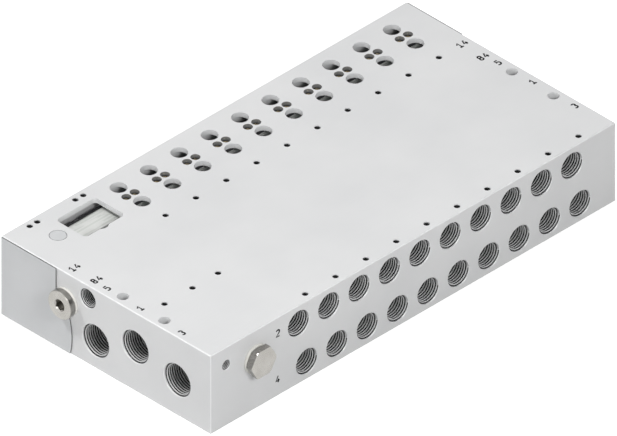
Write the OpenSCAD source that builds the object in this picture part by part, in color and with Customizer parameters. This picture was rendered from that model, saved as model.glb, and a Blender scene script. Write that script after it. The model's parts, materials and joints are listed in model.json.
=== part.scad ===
// Valve manifold rail: one extruded and machined block with air ducts along its length, threaded
// ports on one side and both ends, and a closed wiring duct under the back row of holes.
//
// Frame: X along the rail, Y across it, Z up. The origin is the centre of the underside.
// "From near" is measured from the near end face, "from back" from the back face, and "down"
// from the top face.

/* [Rail] */
// Number of valve places
valve_count = 10; // [2:1:16]
// Distance from one valve place to the next
valve_pitch = 19; // [16:0.5:24]
// Near end face to the middle of the first valve place
near_length = 62.6; // [60:0.1:90]
// Middle of the last valve place to the far end face
far_length = 19.8; // [17:0.1:40]
// Width across the rail
rail_w = 131; // [128:0.5:150]
// Height of the rail
rail_h = 42.5; // [42:0.5:48]
// Chamfer that breaks the rail's outer edges
edge_break = 0.4; // [0.2:0.05:0.6]

/* [Wiring duct] */
// Wall between the duct and the top face
top_wall = 2.5; // [2:0.1:3.5]
// Wall between the duct and the back face
back_wall = 3; // [2:0.1:4]
// Wall under the duct
floor_wall = 3; // [2:0.1:5]
// Width of the thick band at the top of the back wall that takes the small screws
screw_band = 6.5; // [6.2:0.1:6.6]
// How far the back ledge stands out from the thick band
back_ledge_w = 6.5; // [5:0.1:7.5]
// How far the front ledge stands out from the front wall of the duct
front_ledge_w = 11; // [10:0.1:11.5]
// Thickness of the two ledges
ledge_t = 1.8; // [1.2:0.1:2.5]

/* [End caps] */
// Back face to the straight front edge of the cap
cap_edge = 34.5; // [34:0.1:35]
// Back face to the centre of the cap's round belly
belly_from_back = 9.5; // [8:0.1:10.5]
// Depth of the centre of the round belly
belly_down = 33.3; // [31:0.1:35]
// Radius of the round belly
belly_r = 35; // [33:0.1:36]
// Width of the band of end face that the cap lies on
cap_land = 3; // [2.4:0.1:3.4]
// Gap between the cap's edge and the chamfer of the end face
cap_edge_gap = 0.1; // [0.05:0.05:0.4]
// How far the cap stands proud of the end face
cap_proud = 0.5; // [0.3:0.05:1.5]
// Thickness of the cap's plate inside the duct
cap_plate = 1.6; // [1:0.1:2.5]
// Length of the collar that plugs into the duct
cap_collar = 8; // [7:0.5:10]
// Wall of the collar
cap_wall = 2; // [1.8:0.1:2.6]
// Gap between the collar and the duct
cap_fit = 0.25; // [0.15:0.05:0.4]
// Plate to the groove of the seal
seal_start = 3; // [2.8:0.1:3.5]
// Width of the groove of the seal
seal_groove_w = 2; // [1.5:0.1:2.5]
// Depth of the groove of the seal
seal_groove_t = 0.9; // [0.6:0.1:1.1]
// Play of a seal in its groove and against its bore
seal_play = 0.04; // [0.02:0.01:0.08]
// Space between the end of the collar and the ledges
collar_gap = 1; // [0.5:0.1:1.5]

/* [Holes of a valve place] */
// Diameter of the two large holes
plug_hole_d = 8; // [7.6:0.1:8.4]
// Back face to the first large hole
plug_hole_back = 10.8; // [10.7:0.1:11]
// Back face to the second large hole
plug_hole_front = 25.5; // [25.2:0.1:26]
// Diameter of the two small contact holes
contact_hole_d = 4.5; // [4:0.1:4.8]
// Distance between the two contact holes
contact_pitch = 5.2; // [5:0.1:5.6]
// Back face to the contact holes
contact_from_back = 18.25; // [18.1:0.05:18.4]

/* [Screw holes] */
// Diameter of the small tapped holes
screw_d = 3; // [2.5:0.1:3.2]
// Depth of the small tapped holes
screw_depth = 6.5; // [5:0.1:7]
// Back face to the middle row of valve screws
mid_screw_from_back = 40.4; // [39:0.1:42]
// Shift of the middle row along the rail
mid_screw_shift = -0.2; // [-1:0.1:1]
// Back face to the side row of valve screws
side_screw_from_back = 126.7; // [125:0.1:126.9]
// Shift of the side row along the rail
side_screw_shift = 0.8; // [0.4:0.1:1.2]
// Near end to the first screw hole of the electrical interface
iface_start = 14; // [13:0.1:15]
// First to last screw hole of the electrical interface
iface_length = 33.5; // [32:0.1:36]
// First to middle screw hole of the front row
iface_middle = 17.5; // [16:0.1:19]
// Back face to the back row of the interface
iface_back = 3.8; // [3.6:0.1:4.3]
// Distance between the two rows of the interface
iface_width = 84.3; // [83:0.1:86]
// First hole of the back row to its partner
iface_pair_near = 4.7; // [4.5:0.1:6]
// Last hole of the back row to its partner
iface_pair_far = 4.9; // [4.5:0.1:6]

/* [Opening for the connector] */
// Near end to the opening
cutout_start = 25.3; // [24:0.1:27]
// Length of the opening
cutout_l = 24.7; // [22:0.1:26]
// Back face to the opening
cutout_from_back = 8.75; // [8.5:0.05:9.5]
// Width of the opening
cutout_w = 18.7; // [17:0.05:19.5]
// Radius of its corners
cutout_r = 2; // [1:0.1:3]
// Length of the rounded notch in its front edge
notch_l = 5.3; // [4:0.1:7]
// Depth of the rounded notch
notch_depth = 1.1; // [0.5:0.1:1.5]
// Near end to the middle of the notch and the keyway
key_from_near = 37.2; // [36:0.1:39]
// Diameter of the hole that the access plug closes
access_d = 8.3; // [7.5:0.1:8.6]
// Near end to the access plug
access_from_near = 17.8; // [17:0.05:18.5]
// Back face to the access plug
access_from_back = 17.7; // [16.5:0.1:19]
// Gap round the access plug
access_fit = 0.1; // [0.05:0.01:0.15]
// Length of the access plug's skirt below the top wall
access_skirt = 1.9; // [1.5:0.1:2.2]
// How far the access plug's snap bead stands out past its hole
access_bead = 0.3; // [0.2:0.05:0.5]
// Chamfer of the access plug's rim
access_chamfer = 0.3; // [0.1:0.05:0.5]

/* [Mounting holes] */
// Diameter of the four through holes
mount_d = 5.5; // [5:0.1:5.8]
// End face to the through holes
mount_inset = 5; // [4.5:0.1:6]
// Back face to the back pair of through holes
mount_back = 71.1; // [70.9:0.1:71.6]
// Distance between the two through holes of one end
mount_spread = 26; // [25.8:0.1:26.4]

/* [End ports] */
// Outside diameter of the large thread
large_thread_d = 16.662; // [16.4:0.001:16.8]
// Bore of the large ducts
large_duct_d = 14.95; // [14:0.05:15.2]
// Depth of the large thread
large_depth = 12; // [10:0.5:14]
// Outside diameter of the small thread
small_thread_d = 9.728; // [9.5:0.001:9.9]
// Bore of the small ducts
small_duct_d = 8.566; // [7:0.001:8.6]
// Depth of the small thread
small_depth = 9; // [8:0.5:11]
// Widening of each port's mouth
port_rim = 0.2; // [0.1:0.05:0.5]
// Back face to port 14
port14_from_back = 40.9; // [40.7:0.1:41.2]
// Depth of port 14 below the top face
port14_down = 15.2; // [15:0.1:15.6]
// Back face to port 84
port84_from_back = 54; // [53.5:0.1:54.5]
// Depth of port 84 below the top face
port84_down = 7.2; // [7:0.1:7.4]
// Back face to port 5
port5_from_back = 59; // [58.6:0.1:59.2]
// Depth of port 5 below the top face
port5_down = 27.7; // [27:0.1:30]
// Back face to port 1
port1_from_back = 83.7; // [83.4:0.1:84]
// Depth of port 1 below the top face
port1_down = 18.6; // [18:0.1:22]
// Back face to port 3
port3_from_back = 110; // [109.8:0.1:110.2]
// Depth of port 3 below the top face
port3_down = 23.4; // [22.6:0.1:23.8]

/* [Side ports] */
// Outside diameter of the side ports' thread
side_thread_d = 13.157; // [13:0.001:13.3]
// Diameter of the drill that the side ports are tapped from
side_core_d = 11.445; // [11:0.001:11.8]
// Depth of the side ports' thread
side_depth = 11; // [10:0.1:11.5]
// Middle of a valve place to its upper port
upper_port_shift = -7.55; // [-7.9:0.05:-7.4]
// Depth of the upper row of ports
upper_port_down = 9.75; // [9.7:0.05:10.2]
// Middle of a valve place to its lower port
lower_port_shift = -2.5; // [-4:0.1:-1]
// Depth of the lower row of ports
lower_port_down = 32.8; // [32:0.1:34]
// Near end to the plugged port on the side
plug_port_from_near = 28; // [26:0.1:31]
// Depth of the plugged port on the side
plug_port_down = 14.9; // [12:0.1:20]
// Diameter of the tapped hole for the earth screw
earth_d = 5; // [4:0.1:5]
// Near end to the earth screw hole
earth_from_near = 9.8; // [9:0.1:12]
// Depth of the earth screw hole below the top face
earth_down = 9.6; // [8:0.1:11]
// Length of the earth screw hole
earth_depth = 9.5; // [8:0.1:10]

/* [Plug of port 14] */
// Diameter of its flange
pilot_flange_d = 14.3; // [13:0.1:14.4]
// Thickness of its flange
pilot_flange_t = 3; // [2.5:0.1:3.5]
// Chamfer of the flange's front rim
pilot_chamfer = 0.25; // [0.15:0.05:1]
// Width across the flats of its hexagon socket
pilot_socket = 5; // [4:0.1:5.5]
// Depth of its hexagon socket
pilot_socket_depth = 5; // [4:0.1:6]
// Diameter of the countersink at the mouth of its socket
pilot_sink_d = 6.2; // [6:0.1:7]
// Length of its threaded shank
pilot_shank = 7.5; // [6:0.1:7.8]
// Outer diameter of its sealing ring
pilot_seal_d = 14.3; // [14:0.1:14.6]
// Thickness of its sealing ring
pilot_seal_t = 1.5; // [1:0.1:2]
// Gap between the ring and the cap
pilot_seal_gap = 0.25; // [0.15:0.05:0.3]

/* [Plug on the side] */
// Width across the flats of the hexagon head
side_hex = 14; // [12:0.1:15]
// Height of the hexagon head
side_hex_t = 3; // [2.5:0.1:5]
// Bevel of the head's corners
side_hex_bevel = 0.4; // [0.2:0.1:0.8]
// Diameter of the turned collar under the head
side_collar_d = 13.4; // [12.5:0.1:14]
// Thickness of the collar
side_collar_t = 0.9; // [0.5:0.1:1.5]
// Length of its threaded shank
side_shank = 7.5; // [6:0.1:7.8]
// Outer diameter of its sealing ring
side_seal_d = 14.6; // [14:0.1:15]
// Thickness of its sealing ring
side_seal_t = 1.5; // [1:0.1:2]
// Gap between a shank and its threaded bore, on the radius
thread_fit = 0.06; // [0.03:0.01:0.1]
// Length of the turned relief behind each plug's flange
relief_l = 1.5; // [1:0.1:2]
// Depth of the turned relief
relief_t = 0.8; // [0.5:0.1:1]

/* [Board and contacts] */
// Depth of the board's upper face below the top face
board_down = 5.4; // [5.2:0.1:5.8]
// Thickness of the board
board_t = 1.6; // [1.2:0.1:2]
// Width of the board
board_w = 10.95; // [10.8:0.05:11.2]
// Back face to the board's front edge
board_front = 21.9; // [21.8:0.1:22.2]
// Space between the caps' collars and the board
board_end_gap = 4; // [2:0.5:6]
// Width of the strip beside the board
strip_w = 1.45; // [1.2:0.05:1.6]
// How far the strip stands above the board
strip_rise = 0.3; // [0.1:0.1:0.6]
// Height of the strip's foot under the board
strip_foot = 1.4; // [1:0.1:2]
// How far the foot reaches under the board
strip_reach = 1.2; // [0.8:0.1:1.6]
// Length of the keyway in the strip
keyway_l = 3; // [2:0.1:4]
// Depth of the keyway
keyway_depth = 1.2; // [0.8:0.1:1.6]
// Length of a contact socket
socket_l = 10.4; // [9.6:0.1:12]
// Width of a contact socket
socket_w = 4.6; // [4.4:0.1:6.4]
// Depth of the sockets' spigots below the top face
spigot_down = 1.7; // [0.5:0.1:2.2]
// Gap between a spigot and its contact hole
spigot_fit = 0.2; // [0.1:0.05:0.3]
// Outer diameter of a contact sleeve
sleeve_d = 3; // [2.6:0.1:3.2]
// Inner diameter of a contact sleeve
sleeve_bore = 2; // [1.6:0.1:2.2]
// How far the sleeves stay below the ends of the spigots
sleeve_sink = 0.2; // [0.1:0.05:0.4]
// Play between parts that are put together by hand
part_play = 0.05; // [0.02:0.01:0.08]

/* [Hidden] */

$fn = 64;
over = 1;                       // how far a cutting shape passes the face that it cuts
drill_tip = 0.6;                // height of a drilled hole's cone for each unit of its radius
rail_l = near_length + (valve_count - 1) * valve_pitch + far_length;
relief_r = pilot_seal_d / 2 + pilot_seal_gap;
pocket_depth = cap_collar + collar_gap;
duct_front = cap_edge - cap_land;
band_down = board_down + board_t + strip_foot + ledge_t;
board_from_near = pocket_depth + board_end_gap;
strip_back = board_front - board_w - part_play - strip_w;

// Places along, across and down the rail
function along(from_near) = from_near - rail_l / 2;
function across(from_back) = rail_w / 2 - from_back;
function height(down) = rail_h - down;
function valve_at(i) = near_length + i * valve_pitch;

module at(from_near, from_back, down) {
    translate([along(from_near), across(from_back), height(down)]) children();
}

module both_ends() {
    children();
    mirror([1, 0, 0]) children();
}

// Both contact places of a valve place
module at_contacts(i, down) {
    for (side = [-1, 1])
        at(valve_at(i) + side * contact_pitch / 2, contact_from_back, down) children();
}

// A box between two places on each axis
module span(near, far, back, front, upper, lower) {
    at(near, front, lower) cube([far - near, front - back, lower - upper]);
}

// A flat shape across the rail, made as long as said, from a distance past the near end face
module along_rail(from_near, length) {
    translate([along(from_near), 0, 0]) rotate([90, 0, 90]) linear_extrude(length) children();
}

// The outline that the wiring duct and its caps share: a straight back, top and floor, a straight
// upper front edge, a round hollow that clears port 14 and a round belly below it
module end_outline(back, front, upper, lower, belly, hollow) {
    difference() {
        union() {
            translate([across(front), height(lower)]) square([front - back, lower - upper]);
            intersection() {
                translate([across(belly_from_back), height(belly_down)]) circle(r = belly, $fn = 128);
                translate([across(rail_w), height(lower)])
                    square([rail_w - back, lower - port14_down]);
            }
        }
        translate([across(port14_from_back), height(port14_down)]) circle(r = hollow);
    }
}

module cap_outline() {
    inset = edge_break + cap_edge_gap;
    end_outline(inset, cap_edge, inset, rail_h - inset, belly_r, relief_r);
}

module duct_outline(inset = 0) {
    shrink = cap_land + inset;
    end_outline(back_wall + inset, cap_edge - shrink, top_wall + inset,
        rail_h - floor_wall - inset, belly_r - shrink, relief_r + shrink);
}

// A drilled and tapped hole down from the top face
module top_screw_hole(from_near, from_back) {
    at(from_near, from_back, screw_depth) {
        cylinder(d = screw_d, h = screw_depth + over);
        translate([0, 0, -drill_tip * screw_d / 2])
            cylinder(r1 = 0, r2 = screw_d / 2, h = drill_tip * screw_d / 2);
    }
}

// A blind hole into the front face: the threaded length, then the cone that its drill leaves
module side_hole(from_near, down, thread_d, core_d, depth, rim) {
    at(from_near, rail_w, down) rotate([-90, 0, 0]) {
        translate([0, 0, -over]) cylinder(d = thread_d, h = depth + over);
        translate([0, 0, -over]) cylinder(r1 = thread_d / 2 + rim + over, r2 = thread_d / 2,
            h = rim + over);
        translate([0, 0, depth])
            cylinder(r1 = core_d / 2, r2 = 0, h = drill_tip * core_d / 2);
    }
}

// A duct from end to end with a threaded mouth at both ends
module ported_duct(from_back, down, thread_d, bore_d, depth) {
    translate([0, across(from_back), height(down)]) {
        translate([-rail_l / 2 - over, 0, 0]) rotate([0, 90, 0])
            cylinder(d = bore_d, h = rail_l + 2 * over);
        both_ends() translate([-rail_l / 2 - over, 0, 0]) rotate([0, 90, 0]) {
            cylinder(d = thread_d, h = depth + over);
            cylinder(r1 = thread_d / 2 + port_rim + over, r2 = thread_d / 2, h = port_rim + over);
        }
    }
}

// The wiring duct: the full outline where the caps plug in, and the ledges and the thick screw
// band left standing between
module wiring_duct() {
    difference() {
        along_rail(-over, rail_l + 2 * over) duct_outline();
        span(pocket_depth, rail_l - pocket_depth, 0, screw_band, 0, band_down);
        span(pocket_depth, rail_l - pocket_depth, 0, screw_band + back_ledge_w,
            band_down - ledge_t, band_down);
        span(pocket_depth, rail_l - pocket_depth, duct_front - front_ledge_w, rail_w,
            board_down + board_t, board_down + board_t + ledge_t);
    }
}

// The holes of one valve place through the duct's top wall, and its two screws
module valve_holes(i) {
    for (back = [plug_hole_back, plug_hole_front])
        at(valve_at(i), back, top_wall + over) cylinder(d = plug_hole_d, h = top_wall + 2 * over);
    at_contacts(i, top_wall + over) cylinder(d = contact_hole_d, h = top_wall + 2 * over);
    top_screw_hole(valve_at(i) + mid_screw_shift, mid_screw_from_back);
    top_screw_hole(valve_at(i) + side_screw_shift, side_screw_from_back);
}

// The opening over the board, with a shallow round notch in its front edge
module connector_cutout() {
    front = cutout_from_back + cutout_w;
    notch_r = (notch_depth * notch_depth + notch_l * notch_l / 4) / (2 * notch_depth);
    cut_h = top_wall + 2 * over;
    for (x = [cutout_start + cutout_r, cutout_start + cutout_l - cutout_r])
        for (y = [cutout_from_back + cutout_r, front - cutout_r])
            at(x, y, top_wall + over) cylinder(r = cutout_r, h = cut_h);
    at(cutout_start + cutout_r, front, top_wall + over)
        cube([cutout_l - 2 * cutout_r, cutout_w, cut_h]);
    at(cutout_start, front - cutout_r, top_wall + over)
        cube([cutout_l, cutout_w - 2 * cutout_r, cut_h]);
    at(key_from_near, front + notch_depth - notch_r, top_wall + over)
        cylinder(r = notch_r, h = cut_h);
}

// The tapped holes that hold the electrical interface
module interface_holes() {
    last = iface_start + iface_length;
    for (x = [iface_start, iface_start + iface_pair_near, last - iface_pair_far, last])
        top_screw_hole(x, iface_back);
    for (x = [iface_start, iface_start + iface_middle, last])
        top_screw_hole(x, iface_back + iface_width);
}

// A flat rectangle about its middle, with its corners cut off
module broken_square(wide, tall) {
    x = wide / 2;
    y = tall / 2;
    c = edge_break;
    polygon([[x, y - c], [x - c, y], [c - x, y], [-x, y - c],
        [-x, c - y], [c - x, -y], [x - c, -y], [x, c - y]]);
}

// The bar before it is drilled: every outer edge has the same small chamfer
module bar() {
    translate([0, 0, rail_h / 2]) intersection() {
        linear_extrude(rail_h, center = true) broken_square(rail_l, rail_w);
        rotate([90, 0, 0]) linear_extrude(rail_w, center = true) broken_square(rail_l, rail_h);
        rotate([90, 0, 90]) linear_extrude(rail_l, center = true) broken_square(rail_w, rail_h);
    }
}

module manifold_block() {
    color([0.78, 0.79, 0.8]) difference() {
        bar();
        wiring_duct();
        for (i = [0 : valve_count - 1]) {
            valve_holes(i);
            side_hole(valve_at(i) + upper_port_shift, upper_port_down, side_thread_d, side_core_d,
                side_depth, port_rim);
            side_hole(valve_at(i) + lower_port_shift, lower_port_down, side_thread_d, side_core_d,
                side_depth, port_rim);
        }
        side_hole(plug_port_from_near, plug_port_down, small_thread_d, small_duct_d,
            small_depth, port_rim);
        side_hole(earth_from_near, earth_down, earth_d, earth_d, earth_depth, port_rim);
        ported_duct(port14_from_back, port14_down, small_thread_d, small_duct_d, small_depth);
        ported_duct(port84_from_back, port84_down, small_thread_d, small_duct_d, small_depth);
        ported_duct(port5_from_back, port5_down, large_thread_d, large_duct_d, large_depth);
        ported_duct(port1_from_back, port1_down, large_thread_d, large_duct_d, large_depth);
        ported_duct(port3_from_back, port3_down, large_thread_d, large_duct_d, large_depth);
        connector_cutout();
        at(access_from_near, access_from_back, top_wall + over)
            cylinder(d = access_d, h = top_wall + 2 * over);
        interface_holes();
        both_ends() for (back = [mount_back, mount_back + mount_spread])
            at(mount_inset, back, rail_h + over) cylinder(d = mount_d, h = rail_h + 2 * over);
    }
}

// A moulded cap: a thin flange on the end face, a plate and a hollow collar that plug into the
// duct, and a groove round the collar for its seal
module end_cap() {
    along_rail(-cap_proud, cap_proud) cap_outline();
    along_rail(0, cap_plate) duct_outline(cap_fit);
    difference() {
        along_rail(0, cap_collar) duct_outline(cap_fit);
        along_rail(cap_plate, cap_collar) duct_outline(cap_fit + cap_wall);
        along_rail(seal_start, seal_groove_w) difference() {
            duct_outline(-over);
            duct_outline(cap_fit + seal_groove_t);
        }
    }
}

module end_cap_near() { color([0.72, 0.73, 0.74]) end_cap(); }

module end_cap_far() { color([0.72, 0.73, 0.74]) mirror([1, 0, 0]) end_cap(); }

module cap_seal() {
    along_rail(seal_start + seal_play, seal_groove_w - 2 * seal_play) difference() {
        duct_outline(seal_play);
        duct_outline(cap_fit + seal_groove_t - seal_play);
    }
}

module cap_seal_near() { color([0.15, 0.15, 0.15]) cap_seal(); }

module cap_seal_far() { color([0.15, 0.15, 0.15]) mirror([1, 0, 0]) cap_seal(); }

// The circuit board that links the valves' contacts. It lies on the front ledge and the strip
module interlink_board() {
    color([0.86, 0.88, 0.84]) difference() {
        span(board_from_near, rail_l - board_from_near, board_front - board_w, board_front,
            board_down, board_down + board_t);
        for (i = [0 : valve_count - 1])
            at_contacts(i, board_down + board_t + over)
                cylinder(d = sleeve_bore, h = board_t + 2 * over);
    }
}

// The moulded strip along the board's back edge, which stands on the back ledge, grips the board
// from below and has a keyway under the connector opening
module board_strip() {
    top = board_down - strip_rise;
    under = board_down + board_t + part_play;
    foot = board_down + board_t + strip_foot;
    color([0.2, 0.2, 0.22]) difference() {
        union() {
            span(board_from_near, rail_l - board_from_near, strip_back, strip_back + strip_w,
                top, foot);
            span(board_from_near, rail_l - board_from_near, strip_back,
                strip_back + strip_w + strip_reach, under, foot);
        }
        span(key_from_near - keyway_l / 2, key_from_near + keyway_l / 2,
            strip_back - over, strip_back + strip_w / 2, top - over, top + keyway_depth);
    }
}

// The contact socket of one valve place: a body between the board and the duct's top wall, and a
// round spigot that stands up into each contact hole
module contact_socket(i) {
    tall = board_down - spigot_down;
    color([0.2, 0.2, 0.22]) difference() {
        union() {
            span(valve_at(i) - socket_l / 2, valve_at(i) + socket_l / 2,
                contact_from_back - socket_w / 2, contact_from_back + socket_w / 2,
                top_wall + part_play, board_down);
            at_contacts(i, board_down) cylinder(d = contact_hole_d - 2 * spigot_fit, h = tall);
        }
        at_contacts(i, board_down + over)
            cylinder(d = sleeve_d + 2 * part_play, h = tall + 2 * over);
    }
}

module contact_sleeves() {
    tall = board_down - spigot_down - sleeve_sink;
    color([0.85, 0.7, 0.3])
        for (i = [0 : valve_count - 1])
            at_contacts(i, board_down) difference() {
                cylinder(d = sleeve_d, h = tall);
                translate([0, 0, -over]) cylinder(d = sleeve_bore, h = tall + 2 * over);
            }
}

// The flush plug of the access hole: a disc as thick as the wall, a skirt and a snap bead
module access_plug() {
    body_r = access_d / 2 - access_fit;
    bead_h = 2 * access_bead;
    color([0.8, 0.8, 0.79]) at(access_from_near, access_from_back, 0) rotate([180, 0, 0])
        difference() {
            union() {
                cylinder(r1 = body_r - access_chamfer, r2 = body_r, h = access_chamfer);
                translate([0, 0, access_chamfer])
                    cylinder(r = body_r, h = top_wall + access_skirt - access_chamfer);
                translate([0, 0, top_wall + part_play])
                    cylinder(r1 = access_d / 2 + access_bead, r2 = body_r, h = bead_h);
            }
            translate([0, 0, top_wall / 2])
                cylinder(r = body_r - top_wall / 2, h = top_wall + access_skirt);
        }
}

// A sealing ring with rounded rims, centred on Z, from z = 0 up
module ring(outer_d, inner_d, thick) {
    round_r = thick / 4;
    rotate_extrude() translate([inner_d / 2, 0]) {
        wide = (outer_d - inner_d) / 2;
        square([wide - round_r, thick]);
        translate([0, round_r]) square([wide, thick - 2 * round_r]);
        for (y = [round_r, thick - round_r]) translate([wide - round_r, y]) circle(r = round_r);
    }
}

// A plug's shank from z = 0 down: a turned relief under the flange, then the threaded length
module plug_shank(thread_d, length) {
    outer_r = thread_d / 2 - thread_fit;
    translate([0, 0, -relief_l]) cylinder(r = outer_r - relief_t, h = relief_l + over / 2);
    translate([0, 0, -length]) cylinder(r = outer_r, h = length - relief_l);
}

// Turns what is drawn along +Z to point out of the near end face, or out of the front face
module out_of_near_end(from_back, down, proud) {
    at(-proud, from_back, down) rotate([0, -90, 0]) children();
}

module out_of_front(from_near, down, proud) {
    at(from_near, rail_w + proud, down) rotate([90, 0, 0]) children();
}

// The screw plug of port 14, with a hexagon socket that ends in its drill's cone
module pilot_plug() {
    socket_r = pilot_socket / 2 / cos(30);
    flange_r = pilot_flange_d / 2;
    color([0.7, 0.68, 0.62])
        out_of_near_end(port14_from_back, port14_down, pilot_seal_t + part_play) difference() {
            union() {
                cylinder(r = flange_r, h = pilot_flange_t - pilot_chamfer);
                translate([0, 0, pilot_flange_t - pilot_chamfer])
                    cylinder(r1 = flange_r, r2 = flange_r - pilot_chamfer, h = pilot_chamfer);
                plug_shank(small_thread_d, pilot_shank + pilot_seal_t);
            }
            translate([0, 0, pilot_flange_t - pilot_socket_depth])
                cylinder(r = socket_r, h = pilot_socket_depth + over, $fn = 6);
            translate([0, 0, pilot_flange_t - pilot_socket_depth - drill_tip * pilot_socket / 2])
                cylinder(r1 = 0, r2 = pilot_socket / 2, h = drill_tip * pilot_socket / 2);
            translate([0, 0, pilot_flange_t - (pilot_sink_d - pilot_socket) / 2])
                cylinder(r1 = pilot_socket / 2, r2 = pilot_sink_d / 2 + over,
                    h = (pilot_sink_d - pilot_socket) / 2 + over);
        }
}

module pilot_plug_seal() {
    color([0.88, 0.87, 0.83])
        out_of_near_end(port14_from_back, port14_down, 0)
            ring(pilot_seal_d, small_thread_d + 2 * port_rim, pilot_seal_t);
}

// The hexagon plug on the side: a turned collar under the head, whose corners are turned to a bevel
module side_plug() {
    head_r = side_hex / 2 / cos(30);
    color([0.7, 0.7, 0.68])
        out_of_front(plug_port_from_near, plug_port_down, side_seal_t + part_play) {
            cylinder(d = side_collar_d, h = side_collar_t);
            translate([0, 0, side_collar_t]) intersection() {
                cylinder(r = head_r, h = side_hex_t, $fn = 6);
                union() {
                    cylinder(r = head_r + over, h = side_hex_t - side_hex_bevel);
                    translate([0, 0, side_hex_t - side_hex_bevel])
                        cylinder(r1 = head_r, r2 = head_r - side_hex_bevel, h = side_hex_bevel);
                }
            }
            plug_shank(small_thread_d, side_shank + side_seal_t);
        }
}

module side_plug_seal() {
    color([0.88, 0.87, 0.83])
        out_of_front(plug_port_from_near, plug_port_down, 0)
            ring(side_seal_d, small_thread_d + 2 * port_rim, side_seal_t);
}

manifold_block();
end_cap_near();
end_cap_far();
cap_seal_near();
cap_seal_far();
interlink_board();
board_strip();
contact_sleeves();
access_plug();
pilot_plug();
pilot_plug_seal();
side_plug();
side_plug_seal();
for (i = [1 : valve_count])
    contact_socket(i - 1);
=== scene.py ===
"""Looks of the manifold rail: finishes, threads, port numbers and the studio. Lengths are in metres."""

import json
import math

import bmesh
import bpy
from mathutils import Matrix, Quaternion, Vector


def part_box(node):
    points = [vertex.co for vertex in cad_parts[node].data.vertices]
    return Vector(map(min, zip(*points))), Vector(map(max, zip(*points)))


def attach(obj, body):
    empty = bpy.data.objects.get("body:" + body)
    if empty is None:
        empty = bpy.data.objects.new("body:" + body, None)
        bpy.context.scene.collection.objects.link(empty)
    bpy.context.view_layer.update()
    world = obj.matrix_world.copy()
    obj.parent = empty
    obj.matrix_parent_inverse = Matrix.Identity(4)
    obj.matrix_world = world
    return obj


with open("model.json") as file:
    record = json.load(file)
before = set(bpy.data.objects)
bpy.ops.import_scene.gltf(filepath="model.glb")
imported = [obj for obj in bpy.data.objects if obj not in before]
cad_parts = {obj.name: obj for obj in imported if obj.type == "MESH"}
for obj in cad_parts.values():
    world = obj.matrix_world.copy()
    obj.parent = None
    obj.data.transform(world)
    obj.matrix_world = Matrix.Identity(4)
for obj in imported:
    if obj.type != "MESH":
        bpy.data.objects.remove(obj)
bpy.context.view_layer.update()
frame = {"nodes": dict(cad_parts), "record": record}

MM = 0.001
UP = Vector((0, 0, 1))
WHITE = (1.0, 1.0, 1.0)
nodes = frame["nodes"]
mounts = {m["name"]: m for m in frame["record"]["mounts"]}
block_low, block_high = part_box("manifold_block")


# Camera: the drawing is isometric, and its image is 617 pixels wide
IMAGE_W = 617
PIXEL = 0.44236 * MM
CAMERA_AZIMUTH, CAMERA_ELEVATION = math.radians(-45), math.asin(1 / math.sqrt(3))
CAMERA_AWAY = 1.2
CAMERA_RAISED = 39.4 * PIXEL
CAMERA_REACH = (0.05, 10)

back = Vector((math.sin(CAMERA_AZIMUTH) * math.cos(CAMERA_ELEVATION),
               -math.cos(CAMERA_AZIMUTH) * math.cos(CAMERA_ELEVATION),
               math.sin(CAMERA_ELEVATION)))
turn = (-back).to_track_quat("-Z", "Y")
camera_data = bpy.data.cameras.new("camera")
camera_data.type = "ORTHO"
camera_data.ortho_scale = IMAGE_W * PIXEL
camera_data.clip_start, camera_data.clip_end = CAMERA_REACH
camera = bpy.data.objects.new("camera", camera_data)
camera.rotation_mode = "QUATERNION"
camera.rotation_quaternion = turn
camera.location = back * CAMERA_AWAY + turn @ Vector((0, CAMERA_RAISED, 0))
bpy.context.scene.collection.objects.link(camera)
bpy.context.scene.camera = camera


# Node helpers
class Shader:
    """A material or world node tree, and short ways to add to it."""

    def __init__(self, tree):
        self.tree = tree
        self.nodes = tree.nodes
        self.nodes.clear()

    def add(self, kind, values=None, **settings):
        made = self.nodes.new(kind)
        for key, value in settings.items():
            setattr(made, key, value)
        for key, value in (values or {}).items():
            self.put(made.inputs[key], value)
        return made

    def put(self, socket, value):
        if isinstance(value, bpy.types.NodeSocket):
            self.tree.links.new(value, socket)
        else:
            socket.default_value = value

    def math(self, operation, first, second=0.0):
        return self.add("ShaderNodeMath", {0: first, 1: second}, operation=operation).outputs[0]

    def vector(self, operation, first, second=(0, 0, 0), output="Vector"):
        made = self.add("ShaderNodeVectorMath", {0: first, 1: second}, operation=operation)
        return made.outputs[output]

    def noise(self, place, scale, stretch=(1, 1, 1), detail=2.0):
        mapped = self.add("ShaderNodeMapping", {"Vector": place, "Scale": stretch})
        made = self.add("ShaderNodeTexNoise", {"Vector": mapped.outputs[0], "Scale": scale,
                                               "Detail": detail, "Roughness": 0.5})
        return made.outputs[0]

    def ramp(self, value, low, high, from_low=0.0, from_high=1.0):
        made = self.add("ShaderNodeMapRange", {"Value": value, "From Min": from_low,
                                               "From Max": from_high, "To Min": low, "To Max": high})
        return made.outputs[0]

    def mix(self, factor, first, second):
        return self.add("ShaderNodeMix", {0: factor, 2: first, 3: second}, data_type="FLOAT").outputs[0]

    def blend(self, factor, first, second):
        made = self.add("ShaderNodeMix", data_type="RGBA")
        self.put(made.inputs[0], factor)
        self.put(made.inputs[6], first)
        self.put(made.inputs[7], second)
        return made.outputs[2]

    def tones(self, noise, spread, dark, light):
        """A colour that follows a noise from dark to light."""
        return self.blend(self.ramp(noise, 0, 1, *spread), rgb(*dark), rgb(*light))

    def scaled(self, colour, factor):
        factors = self.add("ShaderNodeCombineXYZ", {0: factor, 1: factor, 2: factor}).outputs[0]
        return self.vector("MULTIPLY", colour, factors)

    def bump(self, height, strength, distance):
        made = self.add("ShaderNodeBump", {"Height": height, "Strength": strength, "Distance": distance})
        return made.outputs[0]


def rgb(r, g, b):
    return (r, g, b, 1.0)


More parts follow.
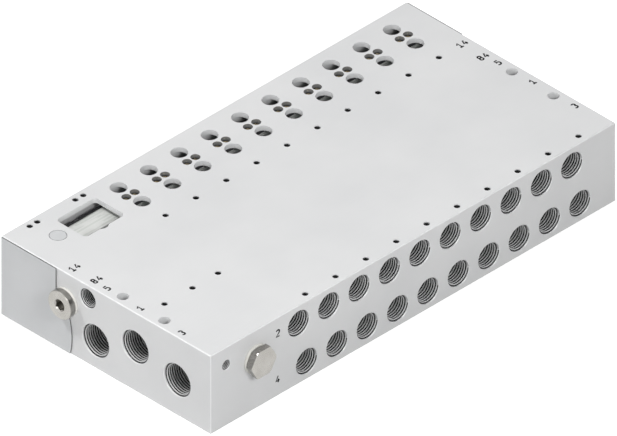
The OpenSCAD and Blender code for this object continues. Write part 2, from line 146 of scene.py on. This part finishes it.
def material(name):
    made = bpy.data.materials.new(name)
    made.use_nodes = True
    shader = Shader(made.node_tree)
    place = shader.add("ShaderNodeTexCoord").outputs["Object"]
    surface = shader.add("ShaderNodeBsdfPrincipled")
    shader.add("ShaderNodeOutputMaterial", {"Surface": surface.outputs[0]})
    return made, shader, place, surface.inputs


# Finishes

# A noise stays near the middle of its range. These are the parts of that range which a ramp
# spreads, and the narrower the part, the more contrast
NARROW, MIDDLE, WIDE = (0.4, 0.6), (0.35, 0.65), (0.3, 0.7)

SKIN_TONES = (0.71, 0.715, 0.72), (0.75, 0.753, 0.756)
DRILLED_TONES = (0.80, 0.805, 0.81), (0.86, 0.865, 0.87)
CREST_TONES = (0.84, 0.845, 0.85), (0.90, 0.905, 0.91)
# The thread roots' painted shade
ROOT_PAINTED_SHADE_TONES = (0.05, 0.05, 0.052), (0.08, 0.08, 0.082)
CAP_TONES = (0.61, 0.62, 0.63), (0.65, 0.66, 0.67)
BLACK_TONES = (0.018, 0.018, 0.02), (0.03, 0.03, 0.032)
NYLON_TONES = (0.70, 0.69, 0.65), (0.76, 0.75, 0.71)
RUBBER_TONES = (0.012, 0.012, 0.012), (0.022, 0.022, 0.022)
GOLD_TONES = (0.82, 0.68, 0.42), (0.88, 0.75, 0.50)
NICKEL_TONES = (0.62, 0.60, 0.56), (0.70, 0.68, 0.64)
INK_TONES = (0.006, 0.006, 0.007), (0.012, 0.012, 0.013)
BOARD_COLOUR, TRACK_COLOUR = (0.70, 0.71, 0.69), (0.61, 0.63, 0.60)

SKIN_METALLIC = 0.12
CREST_METALLIC = 0.3
ROOT_METALLIC = 0.8
# A point of the block is on its outside down to SKIN_DEPTH. From MOUTH to DEEP, what was drilled
# gets painted shade, darker down to DEEP_SHADE
SKIN_DEPTH = 0.01 * MM
MOUTH = 0.3 * MM
DEEP = 8 * MM
DEEP_SHADE = 0.55
# The narrow contact holes get painted shade, darker still, in a strip this much wider than their sleeves
CONTACT_MARGIN = 1.5 * MM
CONTACT_SHADE = 0.3
# A face counts as a side where its normal lies this little along the axis, and fully as a front
# where it lies this much along it
SIDE_TO_FRONT = (0.5, 0.9)
# Painted shade on the sides of the caps and the access plug, a dark line like a shadow gap, and on the
# sides of the metal plugs
MOULDED_SIDE_PAINTED_SHADE = 0.12
PLUG_SIDE_PAINTED_SHADE = 0.5


def depths_in_box(s, place, low, high):
    """How far a point lies inside a box's faces, along each axis."""
    size = s.vector("ABSOLUTE", s.vector("SUBTRACT", place, tuple((low + high) / 2)))
    gaps = s.vector("SUBTRACT", tuple((high - low) / 2), size)
    return s.add("ShaderNodeSeparateXYZ", {0: gaps}).outputs


def depth_in_block(s, place):
    """How far a point lies inside the block's nearest outer face."""
    x, y, z = depths_in_box(s, place, block_low, block_high)
    return s.math("MINIMUM", s.math("MINIMUM", x, y), z)


def contact_shade_strip(s, place):
    """1 in the strip that holds the narrow contact holes, which gets painted shade, and 0 elsewhere."""
    low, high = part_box("contact_sleeves")
    margin = Vector((CONTACT_MARGIN, CONTACT_MARGIN, 0))
    x, y, _ = depths_in_box(s, place, low - margin, high + margin)
    return s.math("GREATER_THAN", s.math("MINIMUM", x, y), 0.0)


def painted_shade_inside(s, depth, colour):
    """The colour as it is at a hole's mouth, with painted shade that darkens it towards its bottom."""
    return s.scaled(colour, s.ramp(depth, 1, DEEP_SHADE, MOUTH, DEEP))


def painted_shade_on_sides(s, colour, axis, shade):
    """The colour as it is on faces that look along the axis, and darkened by shade on its sides, as
    painted shade.
    """
    normal = s.add("ShaderNodeTexCoord").outputs["Normal"]
    facing = s.vector("DOT_PRODUCT", normal, axis, output="Value")
    return s.scaled(colour, s.ramp(s.math("ABSOLUTE", facing), shade, 1, *SIDE_TO_FRONT))


def satin_aluminium():
    """Anodised outside, with fine lines along the rail, and bright tool marks in what was drilled,
    darkened there by painted shade towards the bottom of the holes.
    """
    made, s, place, surface = material("satin_aluminium")
    streaks = s.noise(place, scale=900, stretch=(0.03, 1, 1), detail=4)
    grain = s.noise(place, scale=5200)
    clouds = s.noise(place, scale=22, detail=3)
    depth = depth_in_block(s, place)
    outside = s.math("LESS_THAN", depth, SKIN_DEPTH)
    anodised = s.tones(clouds, MIDDLE, *SKIN_TONES)
    drilled = s.tones(grain, NARROW, *DRILLED_TONES)
    # Painted shade in the narrow contact holes
    drilled = s.scaled(drilled, s.ramp(contact_shade_strip(s, place), 1, CONTACT_SHADE))
    # Painted shade darkens what was drilled towards the bottom of the holes
    s.put(surface["Base Color"], s.blend(outside, painted_shade_inside(s, depth, drilled), anodised))
    s.put(surface["Metallic"], SKIN_METALLIC)
    rough_outside = s.ramp(streaks, 0.52, 0.62, *WIDE)
    rough_inside = s.ramp(grain, 0.34, 0.44, *WIDE)
    s.put(surface["Roughness"], s.mix(outside, rough_inside, rough_outside))
    height = s.math("ADD", s.math("MULTIPLY", streaks, 0.6), s.math("MULTIPLY", grain, 0.4))
    s.put(surface["Normal"], s.bump(height, strength=0.12, distance=0.05 * MM))
    return made


def threaded_aluminium(name, tones, metallic):
    """The crests, or the roots with painted shade, of the threads."""
    made, s, place, surface = material(name)
    grain = s.noise(place, scale=4200)
    colour = s.tones(grain, NARROW, *tones)
    # Painted shade, darker towards the bottom of the holes
    s.put(surface["Base Color"], painted_shade_inside(s, depth_in_block(s, place), colour))
    s.put(surface["Metallic"], metallic)
    s.put(surface["Roughness"], s.ramp(grain, 0.20, 0.28, *WIDE))
    s.put(surface["Normal"], s.bump(grain, strength=0.08, distance=0.03 * MM))
    return made


def moulded(name, tones, rough, grain_size=3000, grain_depth=0.2, axis=None):
    """Moulded plastic or rubber with a fine grain. With an axis, its sides around that axis get
    painted shade, a dark line like the shadow in a joint."""
    made, s, place, surface = material(name)
    clouds = s.noise(place, scale=35)
    grain = s.noise(place, scale=grain_size)
    colour = s.tones(clouds, MIDDLE, *tones)
    s.put(surface["Base Color"], painted_shade_on_sides(s, colour, axis, MOULDED_SIDE_PAINTED_SHADE) if axis else colour)
    s.put(surface["Roughness"], s.ramp(grain, rough - 0.05, rough + 0.07, *WIDE))
    s.put(surface["Normal"], s.bump(grain, grain_depth, distance=0.04 * MM))
    return made


def turned_metal(name, tones, centre, axis, rough, side_painted_shade=1.0):
    """Plated metal with the fine rings that a lathe leaves about an axis, and painted shade on its
    sides.
    """
    made, s, place, surface = material(name)
    moved = s.vector("SUBTRACT", place, tuple(centre))
    across = s.vector("MULTIPLY", moved, tuple(1.0 - component for component in axis))
    radius = s.vector("LENGTH", across, output="Value")
    rings = s.noise(s.add("ShaderNodeCombineXYZ", {0: radius}).outputs[0], scale=9000)
    clouds = s.noise(place, scale=160)
    colour = s.tones(clouds, WIDE, *tones)
    s.put(surface["Base Color"], painted_shade_on_sides(s, colour, axis, side_painted_shade))
    s.put(surface["Metallic"], 1.0)
    s.put(surface["Roughness"], s.ramp(rings, rough - 0.06, rough + 0.08, *WIDE))
    s.put(surface["Normal"], s.bump(rings, strength=0.12, distance=0.03 * MM))
    return made


TRACK_PITCH = 1.9 * MM
TRACK_EDGE = (0.24 * TRACK_PITCH, 0.3 * TRACK_PITCH)
COPPER_FROM = 0.47


def circuit_board():
    """White solder mask over copper tracks that run along the board."""
    made, s, place, surface = material("circuit_board")
    across = s.add("ShaderNodeSeparateXYZ", {0: place}).outputs[1]
    track = s.math("PINGPONG", s.math("ADD", across, 1.0), TRACK_PITCH / 2)
    copper = s.ramp(track, 1, 0, *TRACK_EDGE)
    patches = s.noise(place, scale=60, stretch=(1, 4, 1), detail=1)
    under = s.math("MULTIPLY", copper, s.math("GREATER_THAN", patches, COPPER_FROM))
    s.put(surface["Base Color"], s.blend(under, rgb(*BOARD_COLOUR), rgb(*TRACK_COLOUR)))
    s.put(surface["Roughness"], s.ramp(s.noise(place, scale=2500, detail=3), 0.28, 0.38, *WIDE))
    s.put(surface["Normal"], s.bump(under, strength=0.25, distance=0.03 * MM))
    return made


def marking_ink():
    made, s, place, surface = material("marking")
    speckle = s.noise(place, scale=6000)
    s.put(surface["Base Color"], s.tones(speckle, MIDDLE, *INK_TONES))
    s.put(surface["Specular IOR Level"], 0.2)
    s.put(surface["Roughness"], s.ramp(speckle, 0.5, 0.65, *WIDE))
    return made


def centre_of(node):
    low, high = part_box(node)
    return (low + high) / 2


ALONG_X, ALONG_Y, ALONG_Z = (1, 0, 0), (0, 1, 0), (0, 0, 1)
ORIGIN = (0, 0, 0)

skin = satin_aluminium()
crest_metal = threaded_aluminium("cut_aluminium", CREST_TONES, CREST_METALLIC)
# The thread roots: a darker copy of the threads' aluminium, as painted shade
root_painted_shade_metal = threaded_aluminium("thread_root_painted_shade", ROOT_PAINTED_SHADE_TONES, ROOT_METALLIC)
# The caps and the access plug get painted shade on their sides
cap_plastic = moulded("cap_plastic", CAP_TONES, rough=0.5, axis=ALONG_X)
plug_plastic = moulded("plug_plastic", CAP_TONES, rough=0.5, axis=ALONG_Z)
black_plastic = moulded("black_plastic", BLACK_TONES, rough=0.4)
ring_nylon = moulded("ring_nylon", NYLON_TONES, rough=0.42)
seal_rubber = moulded("seal_rubber", RUBBER_TONES, rough=0.55, grain_size=1800, grain_depth=0.3)
board_white = circuit_board()
contact_gold = turned_metal("contact_gold", GOLD_TONES, ORIGIN, ALONG_Z, rough=0.25)
# The metal plugs get painted shade on their sides
pilot_metal = turned_metal("pilot_metal", NICKEL_TONES, centre_of("pilot_plug"), ALONG_X, rough=0.26,
                           side_painted_shade=PLUG_SIDE_PAINTED_SHADE)
side_metal = turned_metal("side_metal", NICKEL_TONES, centre_of("side_plug"), ALONG_Y, rough=0.26,
                          side_painted_shade=PLUG_SIDE_PAINTED_SHADE)
marking = marking_ink()

FINISHES = {
    "manifold_block": skin,
    "end_cap_near": cap_plastic,
    "end_cap_far": cap_plastic,
    "cap_seal_near": seal_rubber,
    "cap_seal_far": seal_rubber,
    "interlink_board": board_white,
    "board_strip": black_plastic,
    "contact_sleeves": contact_gold,
    "access_plug": plug_plastic,
    "pilot_plug": pilot_metal,
    "pilot_plug_seal": ring_nylon,
    "side_plug": side_metal,
    "side_plug_seal": ring_nylon,
}
for name, node in nodes.items():
    node.data.materials.clear()
    node.data.materials.append(FINISHES.get(name, black_plastic))


def add_piece(name, mesh, finish):
    mesh.materials.append(finish)
    piece = bpy.data.objects.new(name, mesh)
    bpy.context.scene.collection.objects.link(piece)
    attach(piece, "root")


# Threads: for each hole radius in millimetres, the crest radius and the pitch
THREADS = {8.331: (7.475, 1.337), 6.5785: (5.7225, 1.337), 4.864: (4.283, 0.907), 2.5: (2.067, 0.8),
           1.5: (1.23, 0.5)}
# The countersink at a hole's mouth, and how far a ridge is sunk in the hole's wall, in millimetres
RIM = 0.2
SUNK = 0.02
TURN_STEPS = 48
SMALL_STEPS = 20
# The ridge's section: its rise as a share of its height, and its place as a share of the pitch.
# The faces at its foot, on either side, get painted shade as the dark root between two ridges
THREAD_PROFILE = ((0, -0.46), (0.8, -0.23), (1, -0.16), (1, 0.16), (0.8, 0.23), (0, 0.46))
ROOT_FACES = (0, 4)


def cut_thread(bm, mouth, axis, radius, length, steps):
    """Adds a right-hand thread's ridge to the wall of a hole. mouth is the middle of its mouth, axis
    points out of it, and the other lengths are in millimetres. The first turns are cut back by a
    chamfer, and the last half turn runs out."""
    crest_radius, pitch = THREADS[radius]
    to_hole = axis.to_track_quat("Z", "Y")
    first = RIM + pitch / 2
    turns = (length - pitch) / pitch
    count = int(turns * steps)
    rings = []
    for k in range(count + 1):
        angle = -2 * math.pi * k / steps
        depth = first + pitch * k / steps
        run_out = min(1.0, (count - k) / (steps / 2))
        crest = max(crest_radius, radius + RIM - depth)
        crest = radius + (crest - radius) * run_out
        root = radius + SUNK
        ring = []
        for rise, along in THREAD_PROFILE:
            r = root + (crest - root) * rise
            local = Vector((r * math.cos(angle), r * math.sin(angle), -(depth + along * pitch)))
            ring.append(bm.verts.new(mouth + to_hole @ (local * MM)))
        rings.append(ring)
    for low, high in zip(rings, rings[1:]):
        for j in range(len(low)):
            following = (j + 1) % len(low)
            face = bm.faces.new((low[j], low[following], high[following], high[j]))
            # The root faces take the painted shade
            face.material_index = 1 if j in ROOT_FACES else 0
    bm.faces.new(rings[0])
    bm.faces.new(rings[-1])


def thread_piece(name, holes, steps, finish):
    """One piece with the threads of several holes, each given as (mouth, axis, radius, length)."""
    bm = bmesh.new()
    for mouth, axis, radius, length in holes:
        cut_thread(bm, mouth, axis, radius, length, steps)
    bmesh.ops.recalc_face_normals(bm, faces=bm.faces)
    mesh = bpy.data.meshes.new(name)
    bm.to_mesh(mesh)
    bm.free()
    add_piece(name, mesh, finish)
    mesh.materials.append(root_painted_shade_metal)


def port_hole(mount):
    """The mouth, axis, radius and length of a threaded hole's mount."""
    axis = Vector(mount["axis"])
    length = mount["dims"]["length_mm"]
    mouth = Vector(mount["pos_m"]) + axis * (length / 2 + RIM) * MM
    return mouth, axis, mount["dims"]["r_mm"], length


PORT_THREADS = {
    "upper_port_threads": lambda port: port.startswith("port_2_"),
    "lower_port_threads": lambda port: port.startswith("port_4_"),
    "near_port_threads": lambda port: port.endswith("_near"),
    "far_port_threads": lambda port: port.endswith("_far"),
    "earth_screw_thread": lambda port: port == "earth_screw",
}
threaded = {name: port_hole(m) for name, m in mounts.items() if m["kind"] == "threaded_hole"}
for name, belongs in PORT_THREADS.items():
    holes = [hole for port, hole in threaded.items() if belongs(port)]
    thread_piece(name, holes, TURN_STEPS, crest_metal)

# The depth of the small holes, and the first to the middle hole in the interface's front row, in
# millimetres
SCREW_DEPTH = 6.5
INTERFACE_MIDDLE = 17.5


def pattern_holes(mount):
    """The mouth, axis, radius and depth of each hole of a bolt pattern on the top face."""
    dims = mount["dims"]
    centre = Vector(mount["pos_m"])
    along = {side * dims.get("spacing_x_mm", 0) / 2 for side in (-1, 1)}
    across = {side * dims.get("spacing_y_mm", 0) / 2 for side in (-1, 1)}
    return [(centre + Vector((x, y, 0)) * MM, UP, dims["hole_r_mm"], SCREW_DEPTH)
            for x in sorted(along) for y in sorted(across)]


def interface_middle_hole(mount):
    """The hole between the two front corners of the interface's screws, which no pattern holds."""
    dims = mount["dims"]
    corner = Vector(mount["pos_m"]) - Vector((dims["spacing_x_mm"], dims["spacing_y_mm"], 0)) * MM / 2
    return corner + Vector((INTERFACE_MIDDLE * MM, 0, 0)), UP, dims["hole_r_mm"], SCREW_DEPTH


# The small holes look black from a step away, so their threads get the roots' painted shade all over
small_holes = [interface_middle_hole(mounts["interface_screws"])]
for name, mount in mounts.items():
    if mount["kind"] == "bolt_pattern" and mount["dims"]["hole_r_mm"] in THREADS:
        small_holes += pattern_holes(mount)
thread_piece("small_screw_threads", small_holes, SMALL_STEPS, root_painted_shade_metal)


# Port numbers, marked on the top face at both ends and on the front face
INK = 0.004 * MM
STROKE = 0.85 * MM
TOP_NUMBER = 3.3 * MM
SIDE_NUMBER = 3.5 * MM
NEXT_DIGIT = 0.97
ARC_STEP = 20
# Each number, its distance from its own end and from the back face, in millimetres
END_NUMBERS = (("14", 5.5, 40.3), ("84", 5.85, 53.85), ("5", 4.45, 61.75), ("1", 4.0, 82.8),
               ("3", 3.8, 109.2))
# Each number, its distance from the near end and from the top face, in millimetres
SIDE_NUMBERS = (("2", 42.0, 8.5), ("4", 41.9, 33.4))


def arc(x, y, radius, start, end):
    """Points on an arc about (x, y), from one angle in degrees to another."""
    steps = round(abs(end - start) / ARC_STEP)
    angles = [math.radians(start + (end - start) * k / steps) for k in range(steps + 1)]
    return [(x + radius * math.cos(angle), y + radius * math.sin(angle)) for angle in angles]


# The strokes of each digit, in a box 0.6 wide and 1 high
DIGIT_WIDTH = 0.6
DIGITS = {
    "1": ([(0, 0.66), (0.33, 1), (0.33, 0)], [(0.03, 0), (0.63, 0)]),
    "2": (arc(0.3, 0.72, 0.28, 160, -40) + [(0, 0), (0.6, 0)],),
    "3": (arc(0.28, 0.76, 0.24, 150, -90), arc(0.28, 0.26, 0.26, 90, -150)),
    "4": ([(0.4, 1), (0, 0.3), (0.64, 0.3)], [(0.42, 0.56), (0.42, 0)]),
    "5": ([(0.54, 1), (0.1, 1), (0.06, 0.56)] + arc(0.27, 0.32, 0.32, 120, -140),),
    "8": (arc(0.3, 0.76, 0.24, 0, 360), arc(0.3, 0.26, 0.26, 0, 360)),
}


def number_piece(name, text, tall, place, turned):
    """A number in thin ink, with its middle at place."""
    middle = (NEXT_DIGIT * (len(text) - 1) + DIGIT_WIDTH) / 2
    curve = bpy.data.curves.new(name, "CURVE")
    curve.dimensions = "3D"
    curve.bevel_depth = STROKE / 2
    curve.bevel_resolution = 1
    curve.use_fill_caps = True
    for order, digit in enumerate(text):
        for stroke in DIGITS[digit]:
            spline = curve.splines.new("POLY")
            spline.points.add(len(stroke) - 1)
            for point, (x, y) in zip(spline.points, stroke):
                point.co = ((x + order * NEXT_DIGIT - middle) * tall, (y - 0.5) * tall, 0, 1)
    drawn = bpy.data.objects.new(name, curve)
    bpy.context.scene.collection.objects.link(drawn)
    bpy.context.view_layer.update()
    mesh = bpy.data.meshes.new_from_object(drawn.evaluated_get(bpy.context.evaluated_depsgraph_get()))
    bpy.data.objects.remove(drawn)
    for vertex in mesh.vertices:
        flat = Vector((vertex.co.x, vertex.co.y, vertex.co.z * INK / STROKE))
        vertex.co = place + turned @ flat
    mesh.name = name
    add_piece(name, mesh, marking)


on_top = Quaternion()
on_front = Vector((0, -1, 0)).to_track_quat("Z", "Y")
for text, from_end, from_back in END_NUMBERS:
    y = block_high.y - from_back * MM
    near = Vector((block_low.x + from_end * MM, y, block_high.z + INK / 2))
    far = Vector((block_high.x - from_end * MM, y, block_high.z + INK / 2))
    number_piece(f"number_{text}_near", text, TOP_NUMBER, near, on_top)
    number_piece(f"number_{text}_far", text, TOP_NUMBER, far, on_top)
for text, from_near, down in SIDE_NUMBERS:
    place = Vector((block_low.x + from_near * MM, block_low.y - INK / 2, block_high.z - down * MM))
    number_piece(f"number_{text}_side", text, SIDE_NUMBER, place, on_front)


# Studio
def area_light(name, place, size, power):
    data = bpy.data.lights.new(name, "AREA")
    data.shape = "DISK"
    data.size = size
    data.energy = power
    light = bpy.data.objects.new(name, data)
    light.location = place
    light.rotation_mode = "QUATERNION"
    light.rotation_quaternion = (-Vector(place)).to_track_quat("-Z", "Y")
    bpy.context.scene.collection.objects.link(light)


LAMPS = (
    ("key_light", (-1.15, 1.2, 2.2), 0.35, 32.5),
    ("end_light", (-1.2, -0.2, 0.45), 0.5, 2.4),
    ("front_light", (-0.4, -1.05, 0.8), 0.3, 8.5),
    ("back_light", (0.5, 0.9, 0.7), 0.9, 1.5),
)
for lamp in LAMPS:
    area_light(*lamp)

# The floor glows white for the camera and faintly in reflections, and its glow lights nothing else
FLOOR_LIFT = 0.75
MIRRORED_LIFT = 0.2
FLOOR_TONES = (0.60, 0.60, 0.60), (0.62, 0.62, 0.62)
FLOOR_HALF = 6
FLOOR_DOWN = 0.1 * MM
# The world's soft light, and how bright it is in reflections, from the horizon up to where
# overhead starts
SOFT_LIGHT = 0.25
MIRRORED_HORIZON = 0.6
MIRRORED_OVERHEAD = 1.0
OVERHEAD_FROM = 0.8


def floor():
    made, s, place, surface = material("pale_floor")
    speckle = s.noise(place, scale=400)
    s.put(surface["Base Color"], s.tones(speckle, (0, 1), *FLOOR_TONES))
    surface["Roughness"].default_value = 0.9
    surface["Specular IOR Level"].default_value = 0.0
    seen = s.add("ShaderNodeLightPath").outputs
    direct = s.math("MULTIPLY", seen["Is Camera Ray"], FLOOR_LIFT)
    mirrored = s.math("MULTIPLY", seen["Is Glossy Ray"], MIRRORED_LIFT)
    s.put(surface["Emission Color"], rgb(*WHITE))
    s.put(surface["Emission Strength"], s.math("ADD", direct, mirrored))
    bm = bmesh.new()
    bmesh.ops.create_grid(bm, x_segments=1, y_segments=1, size=FLOOR_HALF)
    mesh = bpy.data.meshes.new("floor")
    bm.to_mesh(mesh)
    bm.free()
    mesh.materials.append(made)
    ground = bpy.data.objects.new("floor", mesh)
    ground.location = (0, 0, -FLOOR_DOWN)
    bpy.context.scene.collection.objects.link(ground)


def studio_world():
    world = bpy.data.worlds.new("studio")
    world.use_nodes = True
    s = Shader(world.node_tree)
    seen = s.add("ShaderNodeLightPath").outputs
    direct = s.math("MAXIMUM", seen["Is Camera Ray"], seen["Is Transmission Ray"])
    direction = s.add("ShaderNodeTexCoord").outputs["Generated"]
    height = s.add("ShaderNodeSeparateXYZ", {0: direction}).outputs[2]
    mirrored = s.ramp(height, MIRRORED_HORIZON, MIRRORED_OVERHEAD, 0.0, OVERHEAD_FROM)
    soft = s.mix(seen["Is Glossy Ray"], SOFT_LIGHT, mirrored)
    sky = s.add("ShaderNodeBackground", {"Color": rgb(*WHITE), "Strength": s.mix(direct, soft, 1.0)})
    s.add("ShaderNodeOutputWorld", {"Surface": sky.outputs[0]})
    bpy.context.scene.world = world


floor()
studio_world()
bpy.context.scene.view_settings.view_transform = "Standard"
